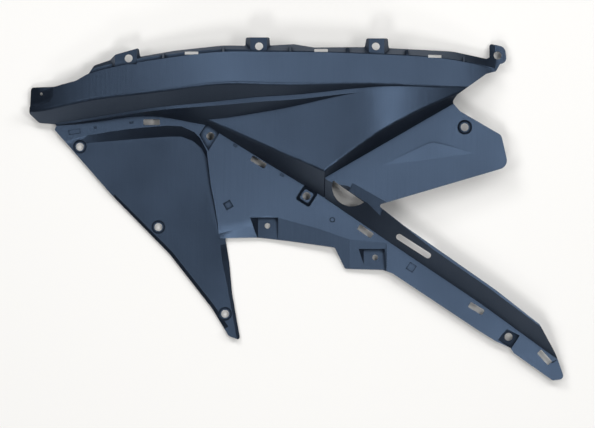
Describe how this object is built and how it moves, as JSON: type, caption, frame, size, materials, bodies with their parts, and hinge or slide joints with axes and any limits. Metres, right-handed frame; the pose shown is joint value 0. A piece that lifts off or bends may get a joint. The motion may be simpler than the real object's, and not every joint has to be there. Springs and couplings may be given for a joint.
{
  "type": "inner fairing panel",
  "caption": "Moulded inner panel for a motorbike fairing: a curved top band with a flange of screw tabs, a stepped middle, a flat lower corner, a side wing and a long arm.",
  "frame": {"origin": "middle of the panel in plan, on the floor that it lies on", "axes": "+X along the panel from its bracket end to the end of its arm, +Y across it to the screw tabs of its top flange, +Z out of its face"},
  "size_m": [0.535, 0.3428, 0.0687],
  "materials": {
    "plastic": "fine moulded grain, satin"
  },
  "bodies": {
    "root": {"inner_fairing_panel": "plastic"}
  },
  "joints": []
}
